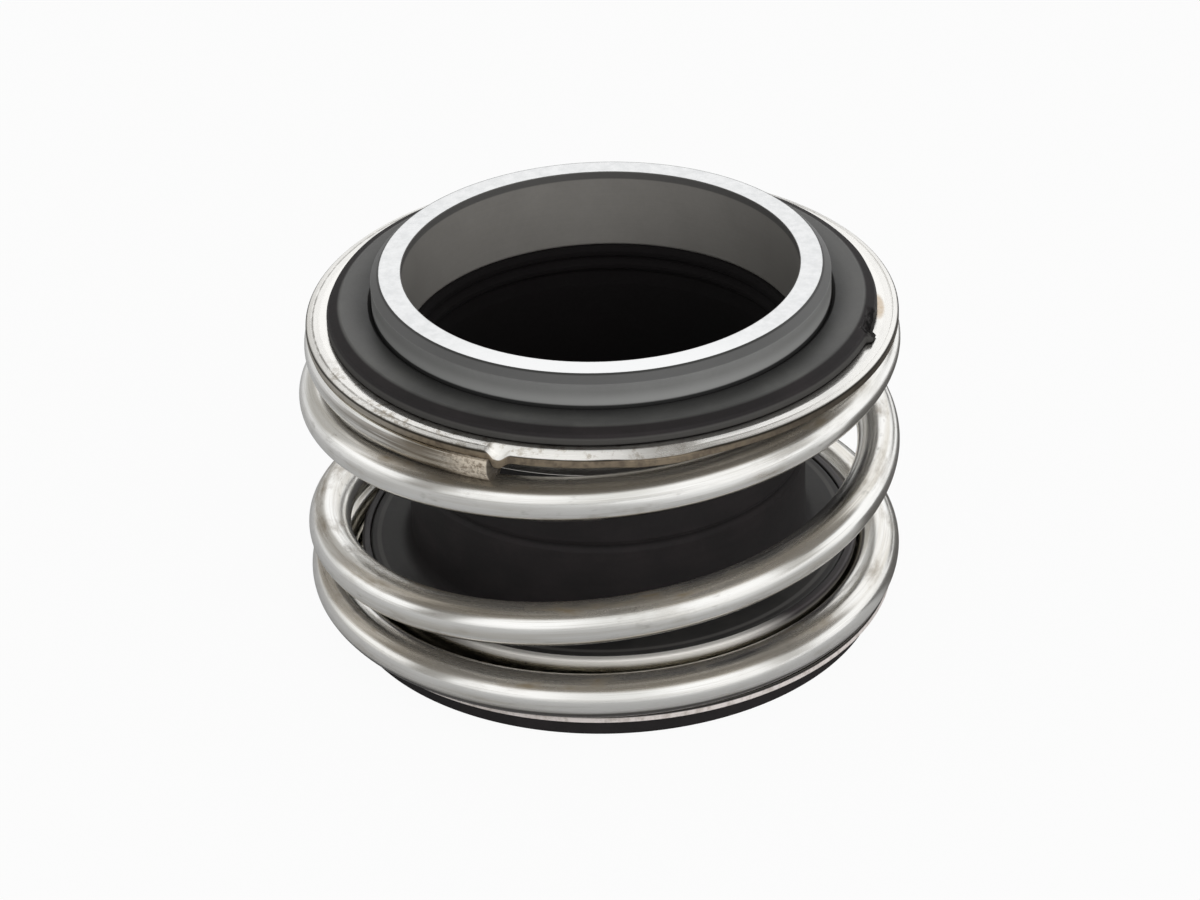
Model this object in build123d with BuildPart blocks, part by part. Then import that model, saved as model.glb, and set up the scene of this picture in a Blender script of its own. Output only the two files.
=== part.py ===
from build123d import *
import os

# Rotating unit of a single-spring mechanical seal with a rubber bellows.
# It stands on its tail face at z = 0, with the shaft along Z and the sealing face up.
# All sizes are in millimetres.

# Driving dimensions
SHAFT_RADIUS = 14.0
FREE_HEIGHT = 28.2
WIRE_RADIUS = 1.6
RUBBER_GAP = 0.02

# Face ring: a lapped nose above the rubber, and a plain body held inside it
FACE_BORE_RADIUS = 14.8
FACE_NOSE_RADIUS = 16.5
FACE_BODY_RADIUS = 17.1
FACE_BEVEL = FACE_BODY_RADIUS - FACE_NOSE_RADIUS
FACE_LENGTH = 6.4
FACE_EDGE = 0.3
FACE_BOTTOM = FREE_HEIGHT - FACE_LENGTH

# Pressed steel rings: a flange that bears on the spring, and a leg inside it
LEG_LENGTH = 3.7
BEND_RADIUS = 0.4
HEAD_LEG_RADIUS = 17.8
HEAD_SHEET = 0.8
HEAD_FLANGE_RADIUS = 22.1
HEAD_FLANGE_TOP = FREE_HEIGHT - 3.6
HEAD_FLANGE_BOTTOM = HEAD_FLANGE_TOP - HEAD_SHEET
TAIL_LEG_RADIUS = 18.4
TAIL_SHEET = 0.6
TAIL_FLANGE_RADIUS = 21.7
TAIL_FLANGE_BOTTOM = 1.8
TAIL_FLANGE_TOP = TAIL_FLANGE_BOTTOM + TAIL_SHEET
TAIL_LEG_TOP = TAIL_FLANGE_BOTTOM + LEG_LENGTH

# Step pressed into the head flange, which stops the spring's tip from sliding round
STEP_DEPTH = 0.45
STEP_WIDTH = 1.8
STEP_LENGTH = 1.4
STEP_CLEARANCE = 0.1

# Rubber bellows: a head cup round the face ring, a thin waist and a gripping tail
BRIM_RADIUS = 20.5
BRIM_TOP = HEAD_FLANGE_TOP + 1.15
BRIM_SHOULDER = 0.5
LIP_RADIUS = 14.3
WAIST_RADIUS = 15.1
WAIST_BORE_RADIUS = 14.25
CUP_BOTTOM = 20.8
GRIP_LENGTH = 6.0
COLLAR_TOP = TAIL_LEG_TOP
FOOT_RADIUS = 20.7
FOOT_EDGE = 0.3
FOLD_HEIGHT = 12.75
FOLD_DEPTH = 0.25
FOLD_HALF_WIDTH = 0.45
WAIST_BLEND = 0.5

# Spring: right-hand, closed and ground at both ends, as (turns, pitch) runs from its head tip down.
# The head end turn is wound smaller, and the open coils hang a little to one side.
TIP_ANGLE = -112.3
TIP_CENTRE_HEIGHT = 23.2
HEAD_COIL_RADIUS = 20.65
COIL_RADIUS = 21.0
COIL_CENTRE_X = -0.36
COIL_CENTRE_Y = -0.1
HEAD_RUNS = 4 * [(0.35 / 4, 2.2)] + 4 * [(0.1, 0.7)]
OPENING_RUNS = [(0.1, 7.0), (0.18, 7.6)]
MIDDLE_RUNS = [(0.72, 10.15), (0.17, 12.3), (0.14, 14.4)]
CLOSING_RUNS = [(0.34, 11.43), (0.1, 5.6)]
TAIL_RUNS = 4 * [(0.1, 0.7)] + 4 * [(0.4 / 4, 1.9)]
OPEN_RUNS = OPENING_RUNS + MIDDLE_RUNS + CLOSING_RUNS

os.makedirs("parts", exist_ok=True)


# Face ring
with BuildPart() as face_ring:
    with BuildSketch(Plane.XZ):
        with BuildLine():
            Polyline(
                (FACE_BORE_RADIUS, FREE_HEIGHT),
                (FACE_NOSE_RADIUS, FREE_HEIGHT),
                (FACE_BODY_RADIUS, FREE_HEIGHT - FACE_BEVEL),
                (FACE_BODY_RADIUS, FACE_BOTTOM + FACE_EDGE),
                (FACE_BODY_RADIUS - FACE_EDGE, FACE_BOTTOM),
                (FACE_BORE_RADIUS + FACE_EDGE, FACE_BOTTOM),
                (FACE_BORE_RADIUS, FACE_BOTTOM + FACE_EDGE),
                close=True,
            )
        make_face()
    revolve(axis=Axis.Z)
face_ring.part.label = "face_ring"
export_step(face_ring.part, "parts/face_ring.step")


# Rubber bellows, moulded in one piece
cup_radius = FACE_BODY_RADIUS + RUBBER_GAP
cup_floor = FACE_BOTTOM - RUBBER_GAP
plug_radius = HEAD_LEG_RADIUS - RUBBER_GAP
brim_bottom = HEAD_FLANGE_TOP + RUBBER_GAP
with BuildPart() as bellows:
    with BuildSketch(Plane.XZ):
        with BuildLine():
            Polyline(
                (SHAFT_RADIUS, 0),
                (FOOT_RADIUS - FOOT_EDGE, 0),
                (FOOT_RADIUS, FOOT_EDGE),
                (FOOT_RADIUS, TAIL_FLANGE_BOTTOM),
                (TAIL_LEG_RADIUS, TAIL_FLANGE_BOTTOM),
                (TAIL_LEG_RADIUS, COLLAR_TOP),
                (WAIST_RADIUS + WAIST_BLEND, COLLAR_TOP),
                (WAIST_RADIUS, COLLAR_TOP + WAIST_BLEND),
                (WAIST_RADIUS, FOLD_HEIGHT - FOLD_HALF_WIDTH),
                (WAIST_RADIUS - FOLD_DEPTH, FOLD_HEIGHT),
                (WAIST_RADIUS, FOLD_HEIGHT + FOLD_HALF_WIDTH),
                (WAIST_RADIUS, CUP_BOTTOM - WAIST_BLEND),
                (WAIST_RADIUS + WAIST_BLEND, CUP_BOTTOM),
                (plug_radius, CUP_BOTTOM),
                (plug_radius, brim_bottom),
                (BRIM_RADIUS, brim_bottom),
                (BRIM_RADIUS, BRIM_TOP - BRIM_SHOULDER),
            )
            ThreePointArc(
                (BRIM_RADIUS, BRIM_TOP - BRIM_SHOULDER),
                (
                    BRIM_RADIUS - BRIM_SHOULDER * (1 - 0.5**0.5),
                    BRIM_TOP - BRIM_SHOULDER * (1 - 0.5**0.5),
                ),
                (BRIM_RADIUS - BRIM_SHOULDER, BRIM_TOP),
            )
            Polyline(
                (BRIM_RADIUS - BRIM_SHOULDER, BRIM_TOP),
                (cup_radius, BRIM_TOP),
                (cup_radius, cup_floor),
                (LIP_RADIUS + WAIST_BLEND, cup_floor),
                (LIP_RADIUS, cup_floor - WAIST_BLEND),
                (WAIST_BORE_RADIUS, CUP_BOTTOM - WAIST_BLEND),
                (WAIST_BORE_RADIUS, GRIP_LENGTH + WAIST_BLEND),
                (SHAFT_RADIUS, GRIP_LENGTH),
                (SHAFT_RADIUS, 0),
            )
        make_face()
    revolve(axis=Axis.Z)
bellows.part.label = "bellows"
export_step(bellows.part, "parts/bellows.step")


# Head ring: its leg points down inside the spring
with BuildPart() as head_ring:
    with BuildSketch(Plane.XZ) as head_section:
        with BuildLine():
            Polyline(
                (HEAD_LEG_RADIUS, HEAD_FLANGE_TOP),
                (HEAD_FLANGE_RADIUS, HEAD_FLANGE_TOP),
                (HEAD_FLANGE_RADIUS, HEAD_FLANGE_BOTTOM),
                (HEAD_LEG_RADIUS + HEAD_SHEET, HEAD_FLANGE_BOTTOM),
                (HEAD_LEG_RADIUS + HEAD_SHEET, HEAD_FLANGE_TOP - LEG_LENGTH),
                (HEAD_LEG_RADIUS, HEAD_FLANGE_TOP - LEG_LENGTH),
                close=True,
            )
        make_face()
        head_bend = head_section.vertices().sort_by_distance((HEAD_LEG_RADIUS, HEAD_FLANGE_TOP))[0]
        fillet(head_bend, BEND_RADIUS)
    revolve(axis=Axis.Z)
    # The pressed step hangs below the flange, just past the spring's tip
    step_plane = Plane.XY.offset(HEAD_FLANGE_BOTTOM)
    step_start = HEAD_FLANGE_RADIUS - STEP_LENGTH
    with BuildSketch(step_plane):
        with PolarLocations((step_start + HEAD_FLANGE_RADIUS) / 2, 1, start_angle=TIP_ANGLE):
            with Locations((0, STEP_CLEARANCE + STEP_WIDTH / 2)):
                Rectangle(STEP_LENGTH, STEP_WIDTH)
        Circle(HEAD_FLANGE_RADIUS, mode=Mode.INTERSECT)
    extrude(amount=-STEP_DEPTH)
head_ring.part.label = "head_ring"
export_step(head_ring.part, "parts/head_ring.step")


# Tail ring: the same pressing turned over, with its leg up inside the spring
with BuildPart() as tail_ring:
    with BuildSketch(Plane.XZ) as tail_section:
        with BuildLine():
            Polyline(
                (TAIL_LEG_RADIUS, TAIL_FLANGE_BOTTOM),
                (TAIL_FLANGE_RADIUS, TAIL_FLANGE_BOTTOM),
                (TAIL_FLANGE_RADIUS, TAIL_FLANGE_TOP),
                (TAIL_LEG_RADIUS + TAIL_SHEET, TAIL_FLANGE_TOP),
                (TAIL_LEG_RADIUS + TAIL_SHEET, TAIL_LEG_TOP),
                (TAIL_LEG_RADIUS, TAIL_LEG_TOP),
                close=True,
            )
        make_face()
        tail_bend = tail_section.vertices().sort_by_distance((TAIL_LEG_RADIUS, TAIL_FLANGE_BOTTOM))[0]
        fillet(tail_bend, BEND_RADIUS)
    revolve(axis=Axis.Z)
tail_ring.part.label = "tail_ring"
export_step(tail_ring.part, "parts/tail_ring.step")


# Spring: a round wire along short helices, each one ground flat where it reaches a flange.
# Both coil sizes share a tangent where the head end turn meets the open coils.
grind_top = HEAD_FLANGE_BOTTOM - RUBBER_GAP
grind_bottom = TAIL_FLANGE_TOP
head_turns = sum(turns for turns, pitch in HEAD_RUNS)
meeting_angle = TIP_ANGLE - 360 * head_turns
coil_centre = Vector(COIL_CENTRE_X, COIL_CENTRE_Y, 0)
meeting_step = Vector(COIL_RADIUS - HEAD_COIL_RADIUS, 0, 0).rotate(Axis.Z, meeting_angle)
head_centre = coil_centre + meeting_step
coils = [(HEAD_COIL_RADIUS, head_centre, HEAD_RUNS), (COIL_RADIUS, coil_centre, OPEN_RUNS + TAIL_RUNS)]
run_height = TIP_CENTRE_HEIGHT
run_angle = TIP_ANGLE
wire_runs = []
for coil_radius, centre, coil_runs in coils:
    for turns, pitch in coil_runs:
        drop = turns * pitch
        run_height -= drop
        run_angle -= 360 * turns
        outward = Vector(1, 0, 0).rotate(Axis.Z, run_angle)
        along = Vector(0, 1, 0).rotate(Axis.Z, run_angle)
        unturned = centre.rotate(Axis.Z, -run_angle) + Vector(0, 0, run_height)
        with BuildPart() as run:
            with BuildLine() as wire_line:
                turn = Helix(pitch, drop, coil_radius, center=unturned, mode=Mode.PRIVATE)
                add(turn, rotation=run_angle)
            with BuildSketch(Plane(origin=wire_line.wire() @ 0, x_dir=outward, z_dir=along)):
                Circle(WIRE_RADIUS)
            sweep(path=wire_line.wire(), is_frenet=True)
            if run_height + drop + WIRE_RADIUS > grind_top:
                split(bisect_by=Plane.XY.offset(grind_top), keep=Keep.BOTTOM)
            if run_height - WIRE_RADIUS < grind_bottom:
                split(bisect_by=Plane.XY.offset(grind_bottom), keep=Keep.TOP)
        wire_runs.append(run.part)

with BuildPart() as spring:
    for piece in wire_runs:
        add(piece, clean=False)
spring.part.label = "spring"
export_step(spring.part, "parts/spring.step")
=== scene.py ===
"""Dresses the rotating unit of a mechanical seal: face ring, rubber bellows, spring and rings."""

import math

import bpy
import numpy as np
from bpy.props import FloatProperty, FloatVectorProperty, PointerProperty
from bpy.types import Operator, Panel, PropertyGroup
from mathutils import Matrix, Vector


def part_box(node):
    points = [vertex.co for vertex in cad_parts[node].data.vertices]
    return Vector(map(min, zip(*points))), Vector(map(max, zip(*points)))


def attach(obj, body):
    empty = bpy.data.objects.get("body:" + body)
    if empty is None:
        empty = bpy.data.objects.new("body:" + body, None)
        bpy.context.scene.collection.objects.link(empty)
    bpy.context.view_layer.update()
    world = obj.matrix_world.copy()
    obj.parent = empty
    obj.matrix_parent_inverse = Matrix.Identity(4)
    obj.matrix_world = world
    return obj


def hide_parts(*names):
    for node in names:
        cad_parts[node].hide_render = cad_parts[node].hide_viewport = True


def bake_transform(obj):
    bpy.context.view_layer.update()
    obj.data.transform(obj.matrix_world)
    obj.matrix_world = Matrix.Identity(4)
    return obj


bl_info = {
    "name": "Mechanical Seal",
    "version": (1, 0, 0),
    "blender": (4, 5, 0),
    "location": "View3D > Sidebar > Seal",
    "description": "Builds the rotating unit of a shaft seal, piece by piece",
    "category": "Add Mesh",
}

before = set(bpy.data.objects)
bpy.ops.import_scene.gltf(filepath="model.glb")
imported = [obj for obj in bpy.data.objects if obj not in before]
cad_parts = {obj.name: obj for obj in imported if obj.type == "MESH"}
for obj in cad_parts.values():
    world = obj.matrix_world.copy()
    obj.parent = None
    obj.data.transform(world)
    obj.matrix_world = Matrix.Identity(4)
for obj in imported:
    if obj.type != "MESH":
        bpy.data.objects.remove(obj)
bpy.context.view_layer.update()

MM = 0.001
TURN = 2 * math.pi

# How the spring falls from its head tip on. The first row holds its pitch there, and each other
# one the turns between which the pitch changes, and the change: (from, to, fall in one turn).
PITCHES = (
    (0.0, 0.0, 2.2 * MM),
    (0.2, 0.5, -1.5 * MM),
    (0.68, 0.836, 6.9 * MM),
    (0.98, 1.08, 2.55 * MM),
    (1.68, 1.82, 2.15 * MM),
    (1.87, 1.97, 2.1 * MM),
    (2.01, 2.11, -2.97 * MM),
    (2.33, 2.56, -10.73 * MM),
    (2.75, 3.05, 1.2 * MM),
)
# The turn at which the head end turn meets the open coils
MEETING_TURN = 0.75
SHARP_ANGLE = math.radians(38)


# ---------------------------------------------------------------------------- shapes


def ramp(value, low, high):
    """Smooth step: 0 below low, 1 above high, and 3t^2 - 2t^3 between them."""
    t = np.clip((value - low) / (high - low), 0.0, 1.0)
    return t * t * (3 - 2 * t)


def waves(seed, angle, orders, size):
    """Closed uneven wave round a ring: the sum of size / order * cos(order * angle + phase)."""
    phases = np.random.default_rng(seed).uniform(0, TURN, len(orders))
    total = np.zeros_like(angle)
    for order, phase in zip(orders, phases):
        total = total + size / order * np.cos(order * angle + phase)
    return total


def rounded_outline(corners, step):
    """Closed outline in the (radius, height) half plane, from corners of (radius, height, rounding
    in millimetres).

    A corner of rounding q that turns by t becomes an arc of radius q, which leaves its two sides
    q * tan(t / 2) from the corner. Each side between two arcs is cut into equal lengths up to step,
    with one short length next to each arc so that the flat parts shade flat."""
    table = np.array(corners, float)
    rounding = table[:, 2:] * MM
    point = table[:, :2]
    into = point - np.roll(point, 1, axis=0)
    into /= np.linalg.norm(into, axis=1, keepdims=True)
    out = np.roll(into, -1, axis=0)
    turn = np.arctan2(into[:, 0] * out[:, 1] - into[:, 1] * out[:, 0], (into * out).sum(1))
    reach = rounding * np.tan(np.abs(turn) / 2)[:, None]
    start = point - into * reach
    end = point + out * reach
    side = np.stack([-into[:, 1], into[:, 0]], 1) * np.sign(turn)[:, None]
    centre = start + side * rounding
    outline = []
    for i in range(len(table)):
        bend = np.linspace(0, turn[i], 7)[:, None]
        arm = start[i] - centre[i]
        across = np.array([-arm[1], arm[0]])
        outline.append(centre[i] + arm * np.cos(bend) + across * np.sin(bend))
        gap = start[(i + 1) % len(table)] - end[i]
        length = np.linalg.norm(gap)
        count = max(int(math.ceil(length / step)), 1)
        share = np.arange(1, count) / count
        near = min(0.04 * MM / max(length, 1e-9), 0.2)
        share = np.unique(np.concatenate([[near], share, [1 - near]]))
        outline.append(end[i] + gap * share[:, None])
    return np.concatenate(outline)


def listed(grid, caps):
    """The points of a grid in one list. With caps, its first and last row's means follow them."""
    points = grid.reshape(-1, 3)
    return np.concatenate([points, grid[[0, -1]].mean(1)]) if caps else points


def stored(mesh, name, points):
    """Keeps a point with each vertex, for the finishes to read."""
    kept = mesh.attributes.new(name, "FLOAT_VECTOR", "POINT")
    kept.data.foreach_set("vector", points.astype(np.float32).ravel())


def grid_mesh(name, points, wrap_rows=True, caps=False, wire_place=None):
    """Mesh of a grid of points [row, column, xyz] that closes on itself along its columns.

    Rows close too when wrap_rows is set. With caps, the first and the last row are each closed by a
    fan of triangles to the row's mean point. The whole mesh is turned to face outwards, by the sign
    of the volume it encloses."""
    rows, columns = points.shape[:2]
    place = listed(points, caps)
    row = np.arange(rows if wrap_rows else rows - 1)[:, None]
    column = np.arange(columns)[None, :]
    next_row, next_column = (row + 1) % rows, (column + 1) % columns
    quads = np.stack(
        [
            row * columns + column,
            row * columns + next_column,
            next_row * columns + next_column,
            next_row * columns + column,
        ],
        -1,
    ).reshape(-1, 4)
    first, third = place[quads[:, 0]], place[quads[:, 2]]
    second, fourth = place[quads[:, 1]], place[quads[:, 3]]
    volume = (first * np.cross(second, third)).sum() + (first * np.cross(third, fourth)).sum()
    faces = quads.tolist()
    if caps:
        hub = rows * columns
        ring = np.arange(columns)
        after = (ring + 1) % columns
        last = (rows - 1) * columns
        start_fan = np.stack([np.full(columns, hub), after, ring], 1)
        end_fan = np.stack([np.full(columns, hub + 1), last + ring, last + after], 1)
        faces += start_fan.tolist() + end_fan.tolist()
    if volume < 0:
        faces = [face[::-1] for face in faces]
    mesh = bpy.data.meshes.new(name)
    mesh.from_pydata(place, [], faces)
    mesh.update()
    stored(mesh, "rest_place", place)
    if wire_place is not None:
        stored(mesh, "wire_place", listed(wire_place, caps))
    mesh.polygons.foreach_set("use_smooth", np.ones(len(mesh.polygons), bool))
    mesh.set_sharp_from_angle(angle=SHARP_ANGLE)
    return mesh


def lathe(name, corners, around, step=0.5 * MM, shift=None, closer=None):
    """Surface of revolution about Z: outline point i at angle j stands at (r cos j, r sin j, z).

    shift, if given, takes the arrays (angle, radius, height) and returns the moved radius and
    height, for what isn't round: dents, nicks and waves. closer, if given, is an angle and a reach
    to both sides of it, within which the columns stand much closer together."""
    outline = rounded_outline(corners, step)
    angle = np.linspace(0, TURN, around, endpoint=False)
    if closer is not None:
        middle, reach = closer
        past = np.mod(angle - middle + math.pi, TURN) - math.pi
        fine = middle + np.linspace(-reach, reach, 100)
        angle = np.sort(np.mod(np.concatenate([angle[np.abs(past) > 1.02 * reach], fine]), TURN))
    around = len(angle)
    angle = angle[None, :]
    radius = np.repeat(outline[:, :1], around, axis=1)
    height = np.repeat(outline[:, 1:], around, axis=1)
    if shift is not None:
        radius, height = shift(angle + 0 * radius, radius, height)
    points = np.stack([radius * np.cos(angle), radius * np.sin(angle), height], -1)
    return grid_mesh(name, points)


def shown(name, mesh, finish):
    """Puts a mesh in the scene as an object at the origin, with one material."""
    piece = bpy.data.objects.new(name, mesh)
    mesh.materials.append(finish)
    bpy.context.scene.collection.objects.link(piece)
    return piece


# ---------------------------------------------------------------------------- finishes


class Wire:
    """An output socket of a node tree that works in Python sums, and adds its Math nodes."""

    def __init__(self, network, socket):
        self.network = network
        self.socket = socket

    def math(self, operation, *values):
        return self.network.node("ShaderNodeMath", {"operation": operation}, dict(enumerate(values)))

    def __add__(self, other):
        return self.math("ADD", self, other)

    def __sub__(self, other):
        return self.math("SUBTRACT", self, other)

    def __rsub__(self, other):
        return self.math("SUBTRACT", other, self)

    def __mul__(self, other):
        return self.math("MULTIPLY", self, other)

    def __pow__(self, other):
        return self.math("POWER", self, other)

    __radd__ = __add__
    __rmul__ = __mul__

    def between(self, low, high):
        """Smooth step of this value: 0 at low, 1 at high. A low above high turns it round."""
        flip = low > high
        first, second = (high, low) if flip else (low, high)
        smooth = self.network.node(
            "ShaderNodeMapRange",
            {"interpolation_type": "SMOOTHSTEP"},
            {"Value": self, "From Min": first, "From Max": second},
        )
        return 1 - smooth if flip else smooth

    def between_mm(self, low, high):
        """The same step for a length, with its limits in millimetres."""
        return self.between(low * MM, high * MM)

    def band(self, start, full, fading, end):
        """Smooth band: it rises from start to full, and falls from fading to end."""
        return self.between(start, full) * self.between(end, fading)

    def band_mm(self, start, full, fading, end):
        """The same band for a length, with its limits in millimetres."""
        return self.band(start * MM, full * MM, fading * MM, end * MM)


class Network:
    """A node tree of a material or of the world, whose nodes are all made through node()."""

    def __init__(self, tree):
        self.tree = tree
        self.tree.nodes.clear()

    def node(self, kind, settings=None, values=None, output=0):
        """Any node: its settings first, then the numbers or links of its sockets."""
        made = self.tree.nodes.new(kind)
        for name, value in (settings or {}).items():
            setattr(made, name, value)
        for key, value in (values or {}).items():
            self.join(value, made.inputs[key])
        return None if output is None else Wire(self, made.outputs[output])

    def join(self, value, socket):
        """Links a socket to another node's output, or sets it to a number or a colour."""
        if isinstance(value, Wire):
            self.tree.links.new(value.socket, socket)
        elif value is not None:
            if socket.type == "RGBA" and len(value) == 3:
                value = (*value, 1)
            socket.default_value = value

    def rays(self, *kinds):
        """1 for rays of the given kinds, such as Is Camera Ray, and 0 for all others."""
        path = self.tree.nodes.new("ShaderNodeLightPath")
        total = Wire(self, path.outputs[kinds[0]])
        for kind in kinds[1:]:
            total = total + Wire(self, path.outputs[kind])
        return total

    def place(self, attribute=None):
        """The point on the piece: Object coordinates, or a stored attribute that moves with it."""
        if attribute is None:
            return self.node("ShaderNodeTexCoord", output="Object")
        return self.node("ShaderNodeAttribute", {"attribute_name": attribute}, output="Vector")

    def parts(self, vector):
        """The three components of a vector."""
        made = self.node("ShaderNodeSeparateXYZ", None, {0: vector})
        return [Wire(self, socket) for socket in made.socket.node.outputs]

    def vector(self, x, y, z):
        return self.node("ShaderNodeCombineXYZ", None, {0: x, 1: y, 2: z})

    def mix(self, first, second, factor):
        """The first colour where factor is 0, the second where it is 1."""
        return self.node(
            "ShaderNodeMix",
            {"data_type": "RGBA"},
            {0: factor, 6: first, 7: second},
            output=2,
        )

    def coats(self, base, *coats):
        """A base colour under coats of others, in order. Each coat is a colour and its mask."""
        for colour, mask in coats:
            base = self.mix(base, colour, mask)
        return base

    def noise(self, vector, scale, detail=3, roughness=0.5):
        return self.node(
            "ShaderNodeTexNoise",
            None,
            {"Vector": vector, "Scale": scale, "Detail": detail, "Roughness": roughness},
            output="Fac",
        )

    def streaks(self, point, scales, detail, roughness):
        """Noise with a scale of its own along each part of the point, so that it is drawn out."""
        stretched = self.vector(*(part * scale for part, scale in zip(point, scales)))
        return self.noise(stretched, 1, detail, roughness)


class Finish(Network):
    """A material with one Principled shader."""

    def __init__(self, name, **constants):
        self.material = bpy.data.materials.new(name)
        self.material.use_nodes = True
        super().__init__(self.material.node_tree)
        self.shader = self.tree.nodes.new("ShaderNodeBsdfPrincipled")
        self.output = self.tree.nodes.new("ShaderNodeOutputMaterial")
        self.tree.links.new(self.shader.outputs[0], self.output.inputs["Surface"])
        for socket, value in constants.items():
            self.feed(socket.replace("_", " "), value)

    def feed(self, socket, value):
        """Sets or links one socket of the Principled shader."""
        self.join(value, self.shader.inputs[socket])

    def bump(self, height, strength, distance):
        made = self.node(
            "ShaderNodeBump", None, {"Strength": strength, "Distance": distance, "Height": height}
        )
        self.feed("Normal", made)


def position(finish, attribute=None):
    """A point on the piece: itself, its x, y and height, its distance from the axis, its angle."""
    place = finish.place(attribute)
    x, y, height = finish.parts(place)
    radius = (x * x + y * y) ** 0.5
    return place, x, y, height, radius, y.math("ARCTAN2", y, x)


def seen_along(x, y, direction):
    """Distances from the axis ahead in a direction from +X, and to the left of it."""
    ahead = x * math.cos(direction) + y * math.sin(direction)
    aside = y * math.cos(direction) - x * math.sin(direction)
    return ahead, aside


def patch_at(x, y, direction, distance, reach):
    """A soft patch at a distance from the axis, in a direction from +X.

    It reaches out along y, and sqrt(12) times less far along x."""
    off_x = (x - distance * math.cos(direction)) * (1 / reach)
    off_y = (y - distance * math.sin(direction)) * (1 / reach)
    return (off_x * off_x * 12 + off_y * off_y).between(1, 0.35)


def ceramic_finish(settings):
    """Dark ground ceramic with fine turning marks, and a bright lapped end face.

    Its foot carries a painted shadow where it sits in the rubber; its bevel and a thin line round the
    nose are painted dark, a painted shade, and the lapped face is painted brighter at the front, a
    painted highlight."""
    finish = Finish("lapped_ceramic", IOR=1.6)
    place, _, y, height, radius, angle = position(finish)
    below = settings.face_height - height
    past_nose = radius - settings.nose_radius
    past_bore = radius - settings.bore_radius
    lapped = below.between_mm(0.05, 0.01) * past_bore.between_mm(0.03, 0.09)
    lapped = lapped * past_nose.between_mm(-0.02, -0.08)
    grain = finish.noise(place, 2600, 4, 0.6)
    cloud = finish.noise(place, 260, 2)
    marks = finish.streaks((radius, angle, height), (9000, 3, 9000), 2, 0.7)
    shade = (grain - 0.5) * 0.35 + (cloud - 0.5) * 0.5 + (marks - 0.5) * 0.25
    wall = finish.mix((0.15, 0.15, 0.146), (0.23, 0.232, 0.226), shade + 0.5)
    # The wall is lighter from 1.1 to 2.1 mm below the face.
    wall = finish.mix(wall, (0.345, 0.347, 0.34), below.between_mm(1.1, 2.1) * 0.8)
    bore = finish.mix((0.168, 0.16, 0.149), (0.26, 0.25, 0.232), shade + 0.5)
    # The bevel is painted darker: painted shade.
    bevel = below.between(1.1 * settings.bevel, 0.9 * settings.bevel)
    # A thin dark line painted round the nose's edge: painted shade.
    nose_shade_line = past_nose.band_mm(-0.08, -0.03, 0.07, 0.14)
    # Painted shadow at the ring's foot, where it sits in the rubber.
    foot = height.between_mm(26.02, 25.84) * radius.between_mm(16.8, 16.9)
    body = finish.coats(
        bore,
        (wall, radius.between_mm(15.2, 16)),
        ((0.06, 0.06, 0.06), bevel * (1 - lapped) * 0.75),
        ((0.02, 0.02, 0.019), nose_shade_line * 0.85),
        ((0.006, 0.006, 0.006), foot * 0.95),
    )
    dull = finish.noise(place, 1300, 4, 0.7).between(0.3, 0.7)
    bright = finish.mix((0.93, 0.935, 0.94), (0.8, 0.81, 0.815), dull)
    # Towards the front the lapped face is painted brighter: a painted highlight.
    bright = finish.mix(bright, settings.lapped_front_highlight, y.between_mm(-9, -15.5))
    finish.feed("Base Color", finish.mix(body, bright, lapped))
    finish.feed("Metallic", lapped * 0.7)
    finish.feed("Roughness", 0.46 - lapped * 0.32 + (grain - 0.5) * 0.12)
    finish.bump(marks * 0.6 + grain * 0.4, 0.25, 0.02 * MM)
    return finish.material


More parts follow.
